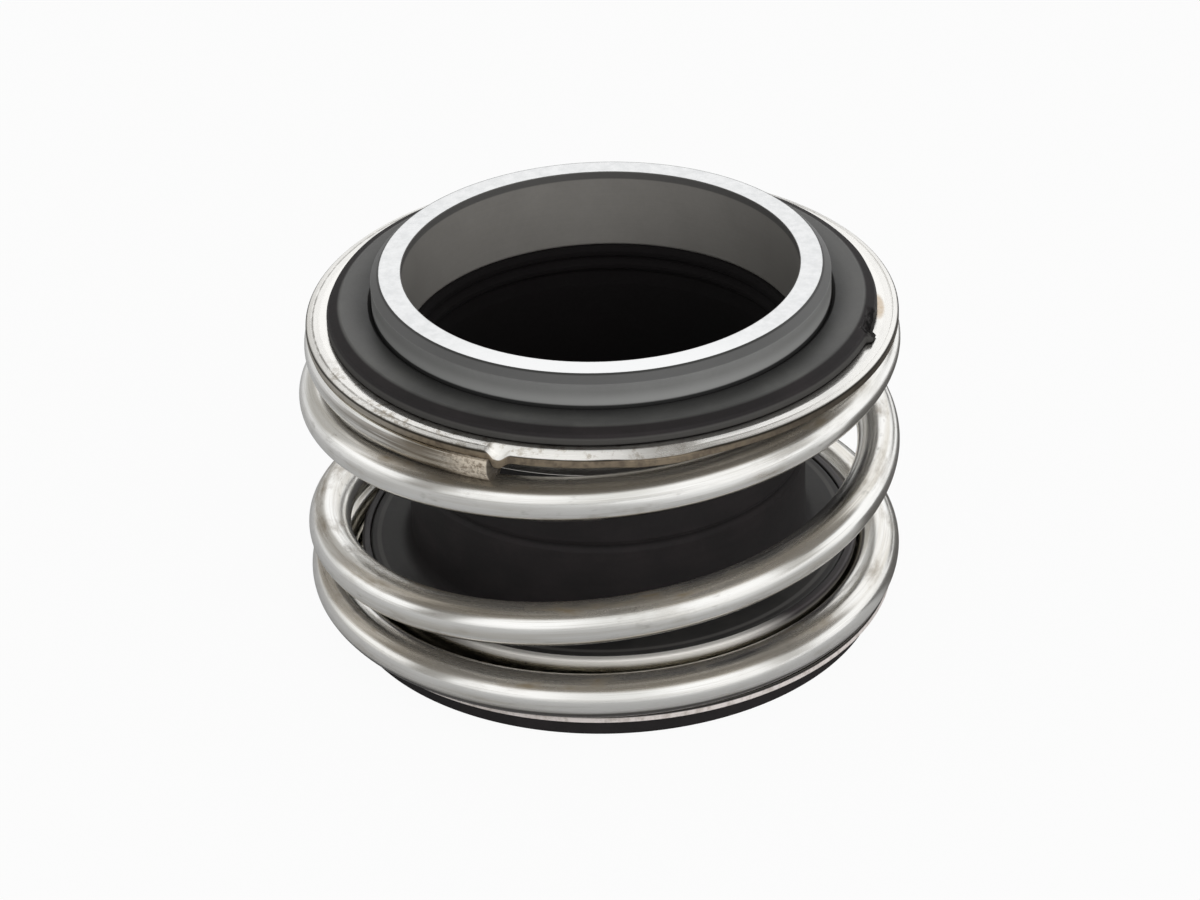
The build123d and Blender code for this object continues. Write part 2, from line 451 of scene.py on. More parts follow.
def rubber_finish(settings):
    """Moulded black rubber: a soft sheen and grey bloom on the brim, and a bore painted deep black, a
    painted shade.

    Away from the front its grey is painted paler, a painted sheen, and a painted shadow darkens a soft
    band round the face ring. The collar's top and the brim's outer wall carry painted highlights, and
    the nick is painted dark, a painted shade."""
    finish = Finish("black_rubber", IOR=1.5)
    place, x, y, height, radius, angle = position(finish, "rest_place")
    pores = finish.noise(place, 3200, 3, 0.6)
    cloud = finish.noise(place, 330, 3, 0.55)
    flow = finish.streaks((radius, angle, height), (900, 2.5, 900), 3, 0.6)
    shelf = radius.band_mm(16.5, 17.5, 19.5, 19.75) * height.between_mm(24, 24.8)
    collar = height.band_mm(4.9, 5.3, 5.9, 6.4)
    # The shelf's grey is bloom and a painted sheen; the collar's top gets a painted sheen.
    bloom_and_sheen = shelf + collar * radius.between_mm(15.4, 16.2) * 0.55
    # A lighter ring painted on the collar's top: a painted highlight.
    collar_highlight = collar * radius.band_mm(17.45, 17.6, 17.8, 17.95)
    # The bore below the face ring is painted near black: painted shade.
    bore_shade = radius.between_mm(15, 14.8) * height.between_mm(22.5, 21.9)
    bloom = cloud.between(0.4, 0.75) * 0.6 + flow.between(0.4, 0.8) * 0.4
    dark = finish.mix(settings.rubber_colour, (0.021, 0.0165, 0.0175), bloom)
    grey = finish.mix((0.052, 0.052, 0.05), (0.093, 0.094, 0.088), bloom)
    # Away from the front the grey is painted paler: a painted sheen.
    grey = finish.mix(grey, (0.15, 0.148, 0.142), y.between_mm(-15, -4) * 0.3)
    ahead, aside = seen_along(x, y, settings.nick_angle)
    ragged = (pores - 0.5) * 1.2 * MM
    # The nick is painted near black: painted shade inside it.
    nick = (ahead + ragged).between_mm(19.9, 20.2) * aside.between_mm(-2, -1.6)
    nick = nick * (aside + ragged).between_mm(1.9, 1.5) * height.between_mm(24.5, 24.9)
    # A lighter band painted near the top of the brim's outer wall: a painted highlight.
    rim = radius.between_mm(20.3, 20.36) * height.band_mm(24.5, 24.85, 25.08, 25.24)
    # Painted shadow in a soft band round the face ring, stronger at the front.
    ring_contact_shadow = radius.between_mm(19.2, 17.3) * height.between_mm(25, 25.4)
    colour = finish.coats(
        dark,
        (grey, bloom_and_sheen),
        ((0.002, 0.002, 0.002), nick * 0.9),
        ((0.12, 0.115, 0.11), collar_highlight),
        ((0.05, 0.048, 0.045), rim),
        ((0.001, 0.001, 0.001), ring_contact_shadow * (0.55 + y.between_mm(8, -4) * 0.35)),
        ((0.002, 0.0012, 0.0015), bore_shade * 0.93),
    )
    finish.feed("Base Color", colour)
    rough = 0.72 - bloom_and_sheen * 0.3 + (cloud - 0.5) * 0.2 + (pores - 0.5) * 0.1
    finish.feed("Roughness", rough + nick * 0.4 + bore_shade * 0.2)
    finish.bump(pores * 0.5 + cloud * 0.8, 0.3, 0.03 * MM)
    return finish.material


def sheet_finish(name, edge_radius, flange_top, tip_angle, clean, head):
    """Pressed stainless sheet: bright faces, and a sheared edge that is duller.

    tip_angle is the direction of the spring's tip, and clean the colour of a clean face. The head ring
    has a thin line of painted shade in the groove near its rim, at the left, dirt, a brown patch and,
    just past the tip, a rim painted near white, a painted highlight with dirt in it. Its edge is painted
    brown near the tip, a painted reflection, and a painted dark line of shade runs under its top. The
    tail ring's leg has a rim painted pale, a painted highlight, and painted dark away from the front, a
    painted shade; a painted dark line of shade runs under the top of its edge."""
    finish = Finish(name)
    place, x, y, height, radius, angle = position(finish)
    above = height - flange_top
    inset = edge_radius - radius
    point = (radius, angle, height)
    marks = finish.streaks(point, (6000, 5, 6000), 3, 0.6)
    stain = finish.streaks(point, (500, 3, 900), 3, 0.6)
    speck = finish.noise(place, 1500, 3, 0.65)
    edge = inset.between_mm(0.14, 0.05)
    face = finish.mix(clean, [0.84 * part for part in clean], stain.between(0.5, 0.8))
    if head:
        ahead, aside = seen_along(x, y, tip_angle)
        past_tip = aside.math("ARCTAN2", aside, ahead)
        # A thin grey line painted in the groove near the rim, at the left: painted shade.
        line = inset.band_mm(0.4, 0.5, 0.56, 0.66) * above.between_mm(-0.3, 0)
        line = line * speck.between(0.3, 0.6) * x.between_mm(6, -10)
        dirt = finish.noise(place, 900, 4, 0.75).between(0.5, 0.66)
        dirty = past_tip.band(-0.95, -0.6, 0.3, 0.9) * height.between_mm(23.9, 24.2)
        # A soft brown patch near the flange's inner edge.
        brown_patch = patch_at(x, y, math.radians(-4.4), 20.45 * MM, 2.3 * MM)
        # Just past the tip the outer rim is painted near white, a painted highlight with dirt in it, and
        # is less metallic there.
        bright = ahead.between_mm(0, 1) * height.between_mm(22, 23) * (1 - edge)
        bright = bright * aside.band_mm(-0.25, 0.15, 5, 13) * radius.between_mm(20.85, 21.1)
        rim_highlight_and_dirt = finish.mix((0.98, 0.965, 0.92), (0.6, 0.55, 0.46), dirt * 0.7)
        face = finish.coats(
            face,
            ((0.3, 0.29, 0.27), line * 0.75),
            ((0.34, 0.29, 0.22), dirt * dirty * 0.75),
            ((0.56, 0.42, 0.27), brown_patch * (0.4 + speck * 0.6)),
            (rim_highlight_and_dirt, bright * 0.85),
        )
        # Near the tip the edge is painted brown, a painted reflection, darker further on, with a painted
        # dark line of shade just under its top.
        edge_reflection = past_tip.band(-0.55, -0.2, 1.4, 2.3)
        brown = finish.mix((0.3, 0.245, 0.175), (0.17, 0.135, 0.1), speck.between(0.35, 0.7))
        grey = finish.mix((0.6, 0.57, 0.51), (0.4, 0.37, 0.32), stain.between(0.35, 0.7))
        sheared = finish.coats(
            grey,
            (brown, edge_reflection),
            ((0.045, 0.038, 0.03), past_tip.between(0.5, 1.25) * edge_reflection * 0.8),
            ((0.02, 0.017, 0.012), above.between_mm(-0.36, -0.26) * 0.9),
        )
        dull = bright * 0.6 + radius.between_mm(20.95, 21.15) * 0.29
    else:
        # The leg's rim is painted pale, a painted highlight, and painted dark away from the front, a
        # painted shade.
        rim = above.between_mm(2.25, 2.85)
        away_from_front = y.between_mm(-17.3, -13)
        face = finish.coats(face, ((0.93, 0.9, 0.85), rim), ((0.05, 0.043, 0.045), rim * away_from_front))
        sheared = finish.mix((0.86, 0.79, 0.76), (0.6, 0.54, 0.5), speck.between(0.4, 0.7))
        # A painted dark line of shade just under the top of the edge, where the spring sits.
        sheared = finish.mix(sheared, (0.02, 0.017, 0.015), above.between_mm(-0.2, -0.12))
        dull = edge * 0.8 + rim * (0.8 + away_from_front * 0.1)
    finish.feed("Base Color", finish.mix(face, sheared, edge))
    finish.feed("Metallic", (1 - dull).between(0, 1))
    rough = 0.2 + edge * 0.2 + (marks - 0.5) * 0.12 + (stain - 0.5) * 0.15 + dull * 0.25
    finish.feed("Roughness", rough)
    finish.bump(marks * 0.7 + speck * 0.5, 0.35, 0.015 * MM)
    return finish.material


def wire_finish(settings):
    """Drawn stainless wire: long fine draw lines, brown stains, and a dull torn end.

    Behind its head tip the wire is streaked and tired. Its top carries stains and is painted darker, a
    painted shade, in front and, low down, at the left. Where the highlight falls its marks are painted
    fainter, a painted highlight, and painted shade darkens its underside, its lowest turn where it sits
    on the tail ring, and its tip's end face."""
    finish = Finish("spring_wire")
    along, outward, upward = finish.parts(finish.place("wire_place"))
    x, y, height = finish.parts(finish.place("rest_place"))
    point = (outward, upward, along)
    draw = finish.streaks(point, (12, 12, 90), 4, 0.65)
    patchy = finish.streaks(point, (1.6, 1.6, 60), 3, 0.6)
    stain = finish.streaks(point, (0.9, 0.9, 200), 4, 0.6)
    speck = finish.streaks(point, (5, 5, 3200), 3, 0.7)
    smudge = finish.streaks(point, (1.6, 1.6, 420), 3, 0.7)
    lines = finish.streaks(point, (3.5, 3.5, 70), 2, 0.6)
    # The tip's end face is painted dark: painted shade.
    end_shade = along.between_mm(0.09, 0)
    torn = along.between_mm(4.6, 1.2)
    tired = along.between_mm(9.5, 5)
    aged = along.between_mm(20, 8)
    # Painted shade darkens the top of the wire in front and, low down, at the left.
    left = x.between_mm(-10, -16) * outward.between(0.05, 0.45) * height.between_mm(17, 14)
    # Behind the front, except low down at the left, no shade is painted on the top of the wire.
    clear = y.between_mm(-16, -11) * (1 - left)
    crown_shade = upward.between(0.58, 0.74) * (1 - clear)
    # Where the highlight falls, stains and patches are painted fainter: a painted highlight.
    lit = upward.band(-0.1, 0.15, 0.6, 0.76) * outward.between(0.2, 0.5)
    # Painted shadow on the top of the upper coils at the front.
    upper_crown_shadow = crown_shade * height.between_mm(19.3, 20.6) * x.between_mm(-16, -11)
    # The underside is painted darker: painted shade.
    under = upward.between(-0.5, -0.88) * outward.between(-0.3, 0.2)
    # Painted shade on the underside of the lowest turn, where it sits on the tail ring.
    crevice_shade = height.between_mm(3.95, 3.35) * upward.between(-0.15, -0.45)
    # Real stains, with the painted shade on the top of the wire added.
    stains_and_crown_shade = stain.between(0.5, 0.78) * (0.65 - lit * 0.4) + crown_shade * 0.6 * patchy.between(0.2, 0.55)
    grains = finish.mix((0.82, 0.73, 0.6), (0.27, 0.21, 0.15), speck.between(0.4, 0.66))
    colour = finish.coats(
        settings.wire_colour,
        ((0.7, 0.66, 0.58), patchy.between(0.4, 0.72) * (0.7 - lit * 0.45)),
        ((0.32, 0.265, 0.19), stains_and_crown_shade),
        ((0.3, 0.28, 0.25), smudge.between(0.6, 0.78) * (0.65 - lit * 0.3)),
        ((0.38, 0.32, 0.235), tired * (0.3 + smudge * 0.8)),
        ((0.36, 0.32, 0.26), draw.between(0.5, 0.7) * (0.22 + aged * 0.25 + crown_shade * 0.25)),
        ((0.16, 0.125, 0.085), aged * lines.between(0.5, 0.6) * 0.7),
        ((0.97, 0.94, 0.87), aged * lines.between(0.44, 0.34) * 0.7),
        ((0.1, 0.085, 0.065), upper_crown_shadow * (0.3 + stain * 0.5)),
        ((0.13, 0.115, 0.1), under * 0.8),
        ((0.035, 0.03, 0.026), crevice_shade),
        (grains, torn * 0.85),
        ((0.045, 0.037, 0.028), end_shade * 0.9),
    )
    finish.feed("Base Color", colour)
    dull = (stains_and_crown_shade * 0.5 + torn * 0.5 + crevice_shade + end_shade).between(0, 1)
    finish.feed("Metallic", 1 - dull)
    rough = 0.2 + (draw - 0.5) * 0.16 + (stain - 0.5) * 0.16 + torn * 0.25 + stains_and_crown_shade * 0.12
    finish.feed("Roughness", rough)
    finish.bump(draw * 0.7 + speck * (0.12 + torn * 0.88), 0.3, 0.02 * MM)
    return finish.material


# ---------------------------------------------------------------------------- settings


def length(name, description, default):
    """A length in metres that a user may change."""
    return FloatProperty(
        name=name, description=description, default=default, min=0.0, precision=5, unit="LENGTH"
    )


def tint(name, description, default):
    """A colour that a user may change."""
    return FloatVectorProperty(
        name=name, description=description, default=default, subtype="COLOR", min=0.0, max=1.0
    )


def heading(name, description, degrees):
    """A direction from +X that a user may change."""
    return FloatProperty(
        name=name, description=description, default=math.radians(degrees), subtype="ANGLE"
    )


class FaceSettings(PropertyGroup):
    """Sizes and colour of the face ring."""

    face_height: length("Face height", "Height of the lapped face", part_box("face_ring")[1].z)
    ring_bottom: length("Ring bottom", "Height of the ring's lower end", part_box("face_ring")[0].z)
    bore_radius: length("Bore radius", "Radius of the bore", 14.8 * MM)
    nose_radius: length("Nose radius", "Outer radius of the lapped face", 16.5 * MM)
    body_radius: length("Body radius", "Radius below the bevel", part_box("face_ring")[1].x)
    bevel: length("Bevel", "Height of the bevel on the nose", 0.6 * MM)
    # The colour the lapped face is painted towards the front: a painted highlight.
    lapped_front_highlight: tint("Lapped colour", "Colour of the lapped face", (0.97, 0.975, 0.98))


class RubberSettings(PropertyGroup):
    """Sizes and colour of the bellows."""

    shaft_radius: length("Shaft radius", "Radius of the bore that grips the shaft", 14.0 * MM)
    waist_radius: length("Waist radius", "Outer radius of the thin waist", 15.1 * MM)
    brim_radius: length("Brim radius", "Outer radius of the brim on the head ring", 20.5 * MM)
    brim_height: length("Brim height", "Height of the brim's shelf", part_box("bellows")[1].z)
    foot_radius: length("Foot radius", "Radius of the foot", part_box("bellows")[1].x)
    nick_angle: heading("Nick angle", "Direction of the nick torn in the brim, from +X", -14.6)
    rubber_colour: tint("Rubber colour", "Colour of the clean rubber", (0.009, 0.0072, 0.0078))


class RingSettings(PropertyGroup):
    """Sizes and colour of the two pressed rings."""

    head_leg: length("Head leg", "Inner radius of the head ring's leg", 17.8 * MM)
    tail_leg: length("Tail leg", "Inner radius of the tail ring's leg", 18.4 * MM)
    leg_length: length("Leg length", "Height of each ring", 3.7 * MM)
    head_radius: length("Head radius", "Outer radius of the head flange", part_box("head_ring")[1].x)
    head_top: length("Head top", "Height of the head flange's top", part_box("head_ring")[1].z)
    head_sheet: length("Head sheet", "Sheet thickness of the head ring", 0.8 * MM)
    tail_radius: length("Tail radius", "Outer radius of the tail flange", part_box("tail_ring")[1].x)
    tail_bottom: length("Tail bottom", "Height of the tail flange's underside", 1.8 * MM)
    tail_sheet: length("Tail sheet", "Sheet thickness of the tail ring", 0.6 * MM)
    step_depth: length("Step depth", "Depth of the step pressed in at the spring's tip", 0.44 * MM)
    steel_colour: tint("Head colour", "Colour of the head ring's sheet", (0.98, 0.967, 0.935))
    # The tail ring's sheet is painted as a darker, shaded copy of the head ring's steel: painted shade.
    tail_shaded_colour: tint("Tail colour", "Colour of the tail ring's sheet", (0.64, 0.61, 0.54))


class SpringSettings(PropertyGroup):
    """Sizes and colour of the spring."""

    coil_radius: length("Coil radius", "Radius of the open coils' centreline", 21.0 * MM)
    end_radius: length("End radius", "Radius of the head end turn's centreline", 20.65 * MM)
    left_shift: length("Left shift", "How far the coils' centre is left of the axis", 0.36 * MM)
    front_shift: length("Front shift", "How far it is in front of the axis", 0.1 * MM)
    wire_radius: length("Wire radius", "Radius of the wire", 1.6 * MM)
    tip_height: length("Tip height", "Height of the wire's centre at its head tip", 23.2 * MM)
    turns: FloatProperty(name="Turns", description="Length of the wire in turns", default=3.3)
    tip_angle: heading("Tip angle", "Direction of the head tip from +X", -112.3)
    wire_colour: tint("Wire colour", "Colour of the bright wire", (0.985, 0.98, 0.955))


class StageSettings(PropertyGroup):
    """Colour of the floor and the levels of the lights."""

    floor_colour: tint("Floor colour", "Colour of the floor", (0.52, 0.52, 0.52))
    floor_white: FloatProperty(
        name="Floor white", description="Share of plain white in the floor", default=0.95
    )
    key_power: FloatProperty(name="Key power", description="Front light", default=1.6, unit="POWER")
    back_power: FloatProperty(name="Back power", description="Rear light", default=0.35, unit="POWER")
    world_level: FloatProperty(name="World", description="Light from all round", default=0.55)


# ---------------------------------------------------------------------------- pieces


class SEAL_OT_face_ring(Operator):
    """Adds the ground face ring with its bevelled nose"""

    bl_idname = "seal.face_ring"
    bl_label = "Face Ring"

    def execute(self, context):
        s = context.scene.seal_face
        corners = [
            (s.bore_radius, s.ring_bottom, 0.25),
            (s.body_radius, s.ring_bottom, 0.25),
            (s.body_radius, s.face_height - s.bevel, 0.07),
            (s.nose_radius, s.face_height, 0.035),
            (s.bore_radius, s.face_height, 0.05),
        ]
        mesh = lathe("face_ring_body", corners, 360)
        piece = shown("face_ring_body", mesh, ceramic_finish(s))
        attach(piece, "head")
        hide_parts("face_ring")
        return {"FINISHED"}


class SEAL_OT_bellows(Operator):
    """Adds the moulded rubber bellows, from its brim to its foot"""

    bl_idname = "seal.bellows"
    bl_label = "Bellows"

    def execute(self, context):
        s = context.scene.seal_rubber
        rings = context.scene.seal_rings
        face = context.scene.seal_face
        plug_radius = rings.head_leg - 0.03 * MM
        collar_radius = rings.tail_leg - 0.03 * MM
        cup = face.body_radius + 0.02 * MM
        floor = face.ring_bottom - 0.03 * MM
        shelf = rings.head_top + 0.02 * MM
        collar = rings.tail_bottom + rings.leg_length - 0.05 * MM
        plug = 20.8 * MM
        fold = 12.75 * MM
        fold_reach = 0.45 * MM
        waist = s.waist_radius
        waist_bore = 14.25 * MM
        upper_lip = 14.4 * MM
        lower_lip = 14.14 * MM
        groove = 14.66 * MM
        foot = rings.tail_bottom - 0.02 * MM
        brim = s.brim_radius
        top = s.brim_height
        nick_depth = 0.36 * MM
        flap_reach = 0.45 * MM
        corners = [
            (s.shaft_radius + 0.3 * MM, 0.0, 0.1),
            (s.foot_radius, 0.0, 0.35),
            (s.foot_radius, foot, 0.15),
            (collar_radius, foot, 0.03),
            (collar_radius, collar, 0.22),
            (waist, collar, 0.9),
            (waist, fold - fold_reach, 0.3),
            (waist - 0.25 * MM, fold, 0.2),
            (waist, fold + fold_reach, 0.3),
            (waist, plug, 0.8),
            (plug_radius, plug, 0.35),
            (plug_radius, shelf, 0.03),
            (brim, shelf, 0.1),
            (brim, top - 0.72 * MM, 0.1),
            (brim - 0.18 * MM, top - 0.3 * MM, 0.1),
            (brim - 1.02 * MM, top, 0.06),
            (cup + 0.28 * MM, top, 0.12),
            (cup, top - 0.22 * MM, 0.08),
            (cup, floor, 0.03),
            (14.62 * MM, floor, 0.05),
            (upper_lip, 21.45 * MM, 0.1),
            (upper_lip, 21.1 * MM, 0.1),
            (groove, 20.9 * MM, 0.08),
            (groove, 20.7 * MM, 0.08),
            (lower_lip, 20.45 * MM, 0.12),
            (lower_lip, 20.1 * MM, 0.12),
            (14.5 * MM, 19.75 * MM, 0.2),
            (waist_bore, 18.6 * MM, 0.4),
            (waist_bore, 6.5 * MM, 0.3),
            (s.shaft_radius, 6.0 * MM, 0.2),
            (s.shaft_radius, 0.3 * MM, 0.1),
        ]

        def shift(angle, radius, height):
            """Waves the brim by a few hundredths of a millimetre, and tears a nick in its rim.

            The nick is a smooth window over past, the angle from its middle, with its depth
            broken up by short waves. Below its front end a flap of rubber stands out."""
            above = ramp(height, 24.62 * MM, 24.7 * MM)
            waved = ramp(radius, 19.0 * MM, 20.3 * MM) * ramp(height, 24.7 * MM, 25.2 * MM)
            wave = waves(3, angle, (3, 5, 8, 13), 0.05 * MM)
            past = np.mod(angle - s.nick_angle + math.pi, TURN) - math.pi
            window = ramp(past, -0.095, -0.06) * (1 - ramp(past, 0.05, 0.085))
            torn = 0.8 + 9.0 * waves(11, angle, (47, 83, 131, 197), 1.0)
            bite = window * np.clip(torn, 0.4, 1.15) * nick_depth
            rim = ramp(radius, 19.9 * MM, 20.25 * MM) * ramp(height, 24.75 * MM, 25.0 * MM)
            flap = ramp(past, -0.11, -0.09) * (1 - ramp(past, -0.05, -0.02)) * flap_reach
            low = ramp(radius, 20.0 * MM, 20.4 * MM) * (1 - ramp(height, 25.0 * MM, 25.4 * MM)) * above
            loss = waved * np.abs(wave)
            radius = radius - loss - rim * bite + low * flap
            return radius, height - loss - rim * bite * 1.1

        mesh = lathe("bellows_skin", corners, 540, shift=shift)
        piece = shown("bellows_skin", mesh, rubber_finish(s))
        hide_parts("bellows")
        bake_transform(piece)
        return {"FINISHED"}


class SEAL_OT_rings(Operator):
    """Adds the two pressed rings that the spring bears on"""

    bl_idname = "seal.rings"
    bl_label = "Pressed Rings"

    def execute(self, context):
        s = context.scene.seal_rings
        tip = context.scene.seal_spring.tip_angle
        rim = s.head_radius
        top = s.head_top
        under = top - s.head_sheet
        leg_end = top - s.leg_length
        sag_depth = 0.09 * MM
        dent_place = 12.3 * MM
        dent_depth = 0.2 * MM
        corners = [
            (s.head_leg, leg_end, 0.1),
            (s.head_leg + s.head_sheet, leg_end, 0.15),
            (s.head_leg + s.head_sheet, under, 0.35),
            (rim, under, 0.1),
            (rim, top - 0.24 * MM, 0.1),
            (rim - 0.14 * MM, top - 0.12 * MM, 0.06),
            (rim - 0.42 * MM, top - 0.05 * MM, 0.03),
            (rim - 0.48 * MM, top - 0.09 * MM, 0.03),
            (rim - 0.56 * MM, top - 0.04 * MM, 0.04),
            (rim - 1.0 * MM, top, 0.3),
            (rim - 1.5 * MM, top - 0.01 * MM, 0.3),
            (s.head_leg, top - 0.03 * MM, 0.5),
        ]

        def shift(angle, radius, height):
            """Presses a short V into the rim just past the spring's tip, and dents it further on.

            past is the distance along the rim from the tip. Above the tip's wire only the upper
            side of the sheet gives way, so that the V never enters the wire. Past the tip the rim
            also sags a little, and all round it waves by a few hundredths of a millimetre."""
            past = (np.mod(angle - tip + math.pi, TURN) - math.pi) * rim
            lip = ramp(radius, rim - 1.15 * MM, rim - 0.2 * MM)
            outer = ramp(radius, rim - 1.5 * MM, rim - 0.3 * MM)
            upper_side = ramp(height, under, top)
            opening = ramp(past, 0.0, 0.4 * MM) * (1 - upper_side)
            opening = opening + ramp(past, -0.35 * MM, 0.45 * MM) * upper_side
            vee = opening * (1 - ramp(past, 0.65 * MM, 1.75 * MM)) * 1.3 * s.step_depth * lip
            sag = ramp(past, 0.0, 1.0 * MM) * (1 - ramp(past, 7.0 * MM, 9.5 * MM)) * sag_depth
            dent = (1 - ramp(np.abs(past - dent_place), 1.0 * MM, 4.5 * MM)) * dent_depth
            wave = waves(7, angle, (4, 7, 11, 19, 31), 0.05 * MM)
            return radius, height - vee - outer * (sag + dent + np.abs(wave) * 0.5)

        closer = (tip + 0.03, 0.12)
        mesh = lathe("head_ring_press", corners, 640, shift=shift, closer=closer)
        steel = sheet_finish("head_sheet_steel", rim, top, tip, s.steel_colour, True)
        piece = shown("head_ring_press", mesh, steel)
        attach(piece, "head")
        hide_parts("head_ring")

        over = s.tail_bottom + s.tail_sheet
        rise = s.tail_bottom + s.leg_length
        corners = [
            (s.tail_leg, s.tail_bottom, 0.4),
            (s.tail_radius, s.tail_bottom, 0.1),
            (s.tail_radius, over, 0.15),
            (s.tail_leg + s.tail_sheet, over, 0.3),
            (s.tail_leg + s.tail_sheet, rise, 0.2),
            (s.tail_leg, rise, 0.1),
        ]
        mesh = lathe("tail_ring_press", corners, 480)
        steel = sheet_finish("tail_sheet_steel", s.tail_radius, over, tip, s.tail_shaded_colour, False)
        piece = shown("tail_ring_press", mesh, steel)
        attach(piece, "tail")
        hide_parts("tail_ring")
        return {"FINISHED"}


class SEAL_OT_spring(Operator):
    """Adds the coil spring, closed and ground flat at both ends"""

    bl_idname = "seal.spring"
    bl_label = "Spring"

    def execute(self, context):
        s = context.scene.seal_spring
        rings = context.scene.seal_rings
        top = rings.head_top - rings.head_sheet - 0.02 * MM
        bottom = rings.tail_bottom + rings.tail_sheet
        points, surface = self.wire(s, top, bottom)
        mesh = grid_mesh("spring_wire", points, wrap_rows=False, caps=True, wire_place=surface)
        piece = shown("spring_wire", mesh, wire_finish(s))
        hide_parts("spring")
        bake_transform(piece)
        return {"FINISHED"}

    def wire(self, s, top, bottom):
        """Grid of points on the wire, and where each stands on it: (length, outwards, upwards).

        The centreline goes clockwise from the head tip. Its head end turn is an arc of its own
        radius, which meets the open coils on a common tangent. It falls by the pitch, which changes
        over short smooth ramps. A section is a circle of the wire's radius in the plane of the axis,
        cut off where it would pass a ground plane: its points are spread evenly over the two arcs
        between the cuts, and the cut itself is a chord. Rows stand closer together near both tips,
        and shrinking rows with uneven heights make each torn end."""
        half = 28
        tip = 0.012
        near = np.linspace(0, tip, 12, endpoint=False)
        turn = np.concatenate([near, np.linspace(tip, s.turns - tip, 660), s.turns - near[::-1]])
        pitch = np.full_like(turn, PITCHES[0][2])
        for start, end, change in PITCHES[1:]:
            pitch += change * ramp(turn, start, end)
        fall = np.concatenate([[0], np.cumsum((pitch[1:] + pitch[:-1]) / 2 * np.diff(turn))])
        centre = (s.tip_height - fall)[:, None]
        angle = (s.tip_angle - turn * TURN)[:, None]
        widest = math.pi / 2 * (1 - 1 / half)
        high = np.arcsin(np.clip((top - centre) / s.wire_radius, -1, 1))
        low = np.arcsin(np.clip((bottom - centre) / s.wire_radius, -1, 1))
        high, low = np.minimum(high, widest), np.maximum(low, -widest)
        outer = low + (high - low) * np.linspace(0, 1, half)[None, :]
        outward = np.concatenate([np.cos(outer), -np.cos(outer[:, ::-1])], 1)
        upward = np.concatenate([np.sin(outer), np.sin(outer[:, ::-1])], 1)
        meeting = s.tip_angle - MEETING_TURN * TURN
        bigger = s.coil_radius - s.end_radius
        tight = (turn < MEETING_TURN)[:, None]
        middle_x = -s.left_shift + tight * bigger * math.cos(meeting)
        middle_y = -s.front_shift + tight * bigger * math.sin(meeting)
        radius = np.where(tight, s.end_radius, s.coil_radius) + outward * s.wire_radius
        height = centre + upward * s.wire_radius
        points = np.stack(
            [middle_x + radius * np.cos(angle), middle_y + radius * np.sin(angle), height], -1
        )
        along = np.repeat(turn[:, None] * TURN * s.coil_radius, 2 * half, 1)
        surface = np.stack([along, outward, upward], -1)
        ends = [self.torn_end(points[::-1], surface[::-1], 5), self.torn_end(points, surface, 6)]
        points = np.concatenate([ends[0][0][::-1], points, ends[1][0]])
        surface = np.concatenate([ends[0][1][::-1], surface, ends[1][1]])
        return points, surface

    def torn_end(self, points, surface, seed):
        """Six rows past the last one: its section shrunk to its middle, set out by uneven steps."""
        shrink = np.array([0.985, 0.93, 0.8, 0.62, 0.42, 0.2])[:, None, None]
        ahead = points[-1] - points[-2]
        ahead = ahead.mean(0) / np.linalg.norm(ahead.mean(0))
        middle = points[-1].mean(0)
        uneven = np.random.default_rng(seed).uniform(-1, 1, (len(shrink), points.shape[1], 1))
        out = (1 - shrink**4) * 0.06 * MM + 0.012 * MM + (1 - shrink) ** 0.5 * uneven * 0.05 * MM
        rows = middle + (points[-1] - middle) * shrink + ahead * out
        return rows, np.repeat(surface[-1:], len(shrink), 0)


# ---------------------------------------------------------------------------- stage


